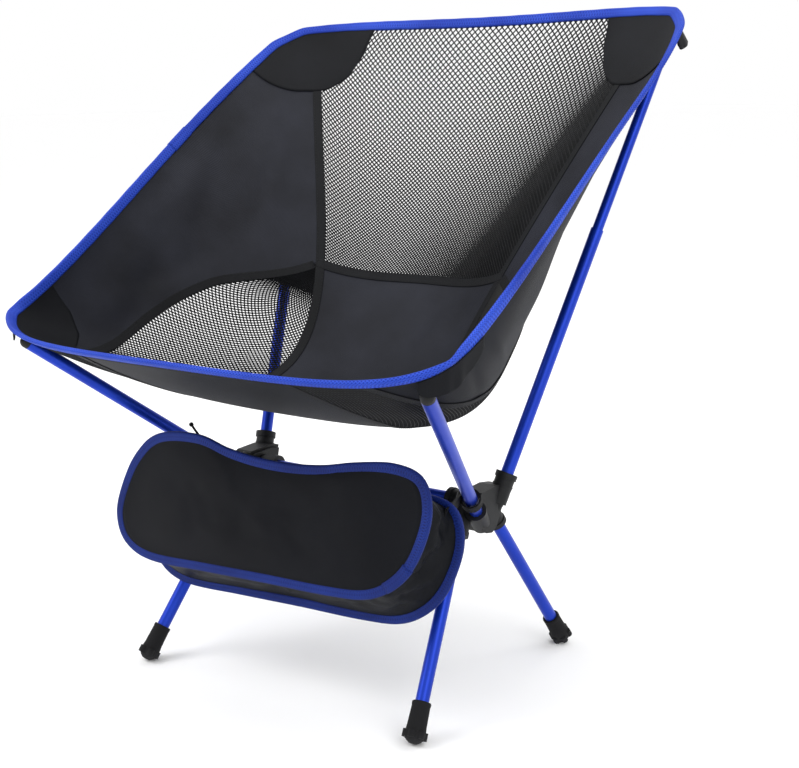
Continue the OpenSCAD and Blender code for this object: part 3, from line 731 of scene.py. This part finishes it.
def corner_pockets():
    """Cloth hoods that hang outside the pole tips at the corners; the back ones flare out round the tip."""
    for place, (s, t), flare, flat in (("front", FRONT_POCKET, 0, (0.075, 0.02)),
                                       ("back", BACK_POCKET, BACK_FLARE, (0.09, 0.022))):
        for word, side in SIDES:
            bm = grid(48, 12)
            stations = np.arange(len(s))
            ends = seat_point(np.array(s)[[0, -1]], side * np.array(t)[[0, -1]], POCKET_LIFT)

            def lay(u, v):
                at = (u if side > 0 else 1 - u) * stations[-1]
                along, aside = np.interp(at, stations, s), np.interp(at, stations, t)
                top = seat_point(along, side * aside, POCKET_LIFT)
                outward = (top - ends.mean(0)) * (1, 1, 0)
                outward /= np.linalg.norm(outward, axis=1)[:, None]
                hood = np.sin(math.pi * np.clip(u, 0.001, 0.999)) ** 0.4
                reach = flare * v * hood + 0.5 * np.sin(at * 2.7) * v
                drop = np.outer(v * (0.3 + 0.7 * hood), (0, 0, POCKET_DROP))
                return top + (outward * reach[:, None] - drop) * MM

            lay_grid(bm, lay, POCKET_PATTERN)
            bmesh.ops.recalc_face_normals(bm, faces=bm.faces)
            piece = piece_from(bm, f"{place}_corner_pocket_{word}", [PATCH_CLOTH], "seat",
                               [f"{place}_pocket_{word}"])
            thicken(piece, CLOTH)


# ---------------------------------------------------------------- bag

def on_zip(angle, radius):
    """Points of the bag's hollow top, seen from the front; angle in degrees from its lowest point."""
    a = np.radians(angle)
    x, z = ZIP_MIDDLE[0] + radius * np.sin(a), ZIP_MIDDLE[1] + ZIP_RADIUS - radius * np.cos(a)
    return np.stack((x, z), axis=-1)


def bag_outline(steps):
    """Closed outline of the bag seen from the front, a Catmull-Rom curve of steps points to a knot."""
    knots = np.array([*on_zip(np.arange(-ZIP_HALF, ZIP_HALF + 1, 6), ZIP_RADIUS), *BAG_CORNERS], float)
    before, after, beyond = np.roll(knots, 1, 0), np.roll(knots, -1, 0), np.roll(knots, -2, 0)
    points = []
    for b, c, d, e in zip(before, knots, after, beyond):
        for u in np.arange(steps) / steps:
            points.append((2 * c + (d - b) * u + (2 * b - 5 * c + 4 * d - e) * u ** 2
                           + (3 * c - b - 3 * d + e) * u ** 3) / 2)
    return np.array(points)


def bag_point(flat, depth, shrink=0.0):
    """Points of the bag in metres from its front outline; each depth hangs lower than the one before it."""
    outward = flat - BAG_MIDDLE
    outward /= np.maximum(np.linalg.norm(outward, axis=1), 0.001)[:, None]
    flat = flat - outward * np.reshape(shrink, (-1, 1))
    depth = np.broadcast_to(depth, len(flat))
    height = flat[:, 1] - BAG_DROP * depth / BAG_DEPTH
    return np.stack((flat[:, 0], BAG_FRONT_Y + depth, height), axis=1) * MM


def crumple(points, scale, height):
    """Smooth creases of that height in mm and roughly that size in mm, the same on every run."""
    return np.array([noise.fractal(Vector(p) / (scale * MM), 1.0, 2.0, 3) for p in points]) * height


def bag_panel(name, depth, puff, replaced):
    """One face of the bag: cloth that swells a little between its bound edges."""
    outline = bag_outline(4)
    bm = grid(len(outline), 26)

    def lay(u, v):
        rim = outline[np.rint(u * len(outline)).astype(int) % len(outline)]
        flat = BAG_MIDDLE + (rim - BAG_MIDDLE) * v[:, None]
        points = bag_point(flat, depth, 2 * v)
        open_cloth = np.clip(1 - (v / 0.94) ** 3, 0, 1)
        swell = (puff + crumple(points, *FACE_CREASE)) * open_cloth
        points[:, 1] -= swell * MM
        return points

    lay_grid(bm, lay, close=True)
    marks = bm.loops.layers.uv.verify()
    for face in bm.faces:
        for loop in face.loops:
            loop[marks].uv = (loop.vert.co.x / MM, loop.vert.co.z / MM)
    bmesh.ops.recalc_face_normals(bm, faces=bm.faces)
    if sum(face.normal.y for face in bm.faces) > 0:
        bmesh.ops.reverse_faces(bm, faces=bm.faces)
    piece = piece_from(bm, name, [BAG_CLOTH], "bag", replaced)
    thicken(piece, CLOTH)


def bag_wall():
    """The gusset between the bag's two faces, slack cloth that crumples."""
    outline = bag_outline(6)
    bm = grid(len(outline), 32)

    def lay(u, v):
        rim = outline[np.rint(u * len(outline)).astype(int) % len(outline)]
        depth = GUSSET_SHORT + (BAG_DEPTH - 2 * GUSSET_SHORT) * v
        middle = np.sin(math.pi * v)
        points = bag_point(rim, depth, GUSSET_INSET)
        slack = 5.0 * middle + crumple(points, *GUSSET_CREASE) * middle
        return bag_point(rim, depth, GUSSET_INSET + slack)

    lay_grid(bm, lay, GUSSET_PATTERN, close=True)
    bmesh.ops.recalc_face_normals(bm, faces=bm.faces)
    piece = piece_from(bm, "bag_gusset_cloth", [BAG_LINING], "bag", ["bag_gusset"])
    thicken(piece, CLOTH)
    piece.modifiers["cloth"].offset = -1


def bag_tape(name, depth, replaced):
    """Navy tape folded over one edge of the bag, stitched all round."""
    outline = bag_outline(8)
    closed = np.vstack((outline, outline[:1]))
    at = even_steps(closed * MM, BAG_STEP * MM, True)
    flat = np.stack([np.interp(at, np.arange(len(closed)), closed[:, i]) for i in (0, 1)], axis=1)
    line = bag_point(flat, depth)
    ahead, across, up = frames_along(line, BAG_FACING, True)
    bm = bmesh.new()
    tube_along(bm, line, across, up, pill(BAG_BINDING, BAG_TAPE_THICK), True, BAG_PATTERN)
    piece_from(bm, name, [BAG_TAPE], "bag", replaced)
    threads = bmesh.new()
    for offset in BINDING_ROWS:
        for face in (-1, 1):
            lift = up * face * (BAG_TAPE_THICK / 2 + STITCH_LIFT)
            stitches(threads, line + (across * offset * BAG_BINDING + lift) * MM, ahead, up * face)
    piece_from(threads, name + "_stitching", [NAVY_THREAD], "bag")


def bag_tape_lap():
    """The end of the bag's front tape, folded under and lapped over its start at the lower right corner."""
    flat = bag_outline(8)
    first = int(np.argmin(np.linalg.norm(flat - TAPE_LAP, axis=1)))
    line = bag_point(flat[first:first + 9], BAG_TAPE_INSET)
    _, across, up = frames_along(line, BAG_FACING, False)
    bm = bmesh.new()
    tube_along(bm, line, across, up, pill(BAG_BINDING + 1.2, BAG_TAPE_THICK + 1.2), False, LAP_PATTERN)
    piece_from(bm, "bag_front_tape_lap", [BAG_TAPE], "bag")


def pull_cord():
    """A short knotted cord looped through the zip's pull, standing up from the bag."""
    start, knee, tip = PULL_CORD
    share = np.linspace(0, 1, 24)[:, None]
    line = ((1 - share) ** 2 * start + 2 * share * (1 - share) * knee + share ** 2 * tip) * MM
    _, across, up = frames_along(line, BAG_FACING, False)
    bm = bmesh.new()
    tube_along(bm, line, across, up, pill(CORD_THICK, CORD_THICK, squareness=1.0), False)
    knot = Matrix.Translation(Vector(line[-1]))
    bmesh.ops.create_icosphere(bm, subdivisions=2, radius=CORD_THICK * MM, matrix=knot)
    piece_from(bm, "zip_pull_cord", [ELASTIC], "zip")


def zip_teeth():
    """The zip's tape with its two rows of moulded teeth along the bag's hollow top."""
    angle = np.linspace(-ZIP_HALF + 1, ZIP_HALF - 1, 60)
    bm = bmesh.new()
    line = bag_point(on_zip(angle, ZIP_RADIUS + ZIP_TAPE_LIFT), ZIP_DEPTH)
    slope = Vector((0, BAG_DEPTH, -BAG_DROP)).normalized()
    up = np.cross(np.gradient(line, axis=0), slope)
    up /= np.linalg.norm(up, axis=1)[:, None]
    up *= np.sign(up[:, 2:])
    _, across, up = frames_along(line, up, False)
    tube_along(bm, line, across, up, pill(*ZIP_TAPE), False)
    piece_from(bm, "zip_tape_woven", [BLACK_TAPE], "bag", ["bag_zip_tape"])
    teeth = bmesh.new()
    at = even_steps(line, TOOTH_STEP * MM)
    row = np.stack([np.interp(at, np.arange(len(line)), line[:, i]) for i in range(3)], axis=1)
    _, across, up = frames_along(row, up.mean(0), False)
    for offset in TOOTH_ROWS:
        stitches(teeth, row + (across * offset + up * TOOTH_LIFT) * MM, across, up)
    piece_from(teeth, "zip_teeth", [TIP_NYLON], "bag")


def bag():
    """The storage bag: two faces, the gusset, both bindings, the zip and its pull cord."""
    bag_panel("bag_front_cloth", 0, 5, ["bag_front_panel"])
    bag_panel("bag_rear_cloth", BAG_DEPTH - 1, 2, ["bag_rear_panel"])
    bag_wall()
    bag_tape("bag_front_tape", BAG_TAPE_INSET, ["bag_front_binding"])
    bag_tape("bag_rear_tape", BAG_DEPTH - BAG_TAPE_INSET, ["bag_rear_binding"])
    bag_tape_lap()
    pull_cord()
    zip_teeth()


# ---------------------------------------------------------------- studio

def studio():
    """A white floor, and soft light from above and both sides."""
    bm = bmesh.new()
    bmesh.ops.create_grid(bm, x_segments=1, y_segments=1, size=40)
    mesh = bpy.data.meshes.new("floor")
    bm.to_mesh(mesh)
    bm.free()
    floor = bpy.data.objects.new("floor", mesh)
    material, _, shader, _ = start_finish("matt_white_paper", Roughness=0.9)
    shader.inputs["Base Color"].default_value = linear("#ffffff")
    mesh.materials.append(material)
    bpy.context.scene.collection.objects.link(floor)

    world = bpy.data.worlds.new("studio")
    bpy.context.scene.world = world
    world.use_nodes = True
    sky = world.node_tree.nodes["Background"]
    sky.inputs["Color"].default_value = linear("#ffffff")
    sky.inputs["Strength"].default_value = 1.0

    for name, place, size, power in (
        ("key_softbox", (-1.6, -1.4, 2.4), 1.6, 38),
        ("fill_softbox", (2.2, -1.0, 1.6), 1.6, 16),
        ("top_softbox", (0.2, 0.6, 2.6), 2.0, 22),
    ):
        lamp = bpy.data.lights.new(name, "AREA")
        lamp.size = size
        lamp.energy = power
        softbox = bpy.data.objects.new(name, lamp)
        aim = Vector((0, 0, 0.3)) - Vector(place)
        softbox.rotation_euler = aim.to_track_quat("-Z", "Y").to_euler()
        softbox.location = place
        bpy.context.scene.collection.objects.link(softbox)


def camera():
    """The camera, turned round the chair by its azimuth and elevation and tipped a little to one side."""
    azimuth, elevation, roll = (math.radians(x) for x in (36.1, 12.1, -1.1))
    distance, lens, aim_height, aim_right = 1.4067, 61.4, 0.2912, 0.0429
    back = Vector((math.sin(azimuth) * math.cos(elevation), -math.cos(azimuth) * math.cos(elevation),
                   math.sin(elevation)))
    level = Vector((math.cos(azimuth), math.sin(azimuth), 0))
    right = (level * math.cos(roll) + back.cross(level) * math.sin(roll)).normalized()
    aim = Vector((0, HUB_Y * MM, aim_height)) + right * aim_right
    data = bpy.data.cameras.new("camera")
    data.lens = lens
    data.sensor_width = 36
    data.clip_start = 0.05
    made = bpy.data.objects.new("camera", data)
    turned = Matrix((right, back.cross(right), back)).transposed().to_4x4()
    made.matrix_world = Matrix.Translation(aim + back * distance) @ turned
    bpy.context.scene.collection.objects.link(made)
    bpy.context.scene.camera = made


studio()
camera()
finish_frame()
seat_panels()
seat_meshes()
corner_patches()
edge_tape()
seam_tapes()
corner_pockets()
bag()
bpy.context.scene.view_settings.view_transform = "Standard"
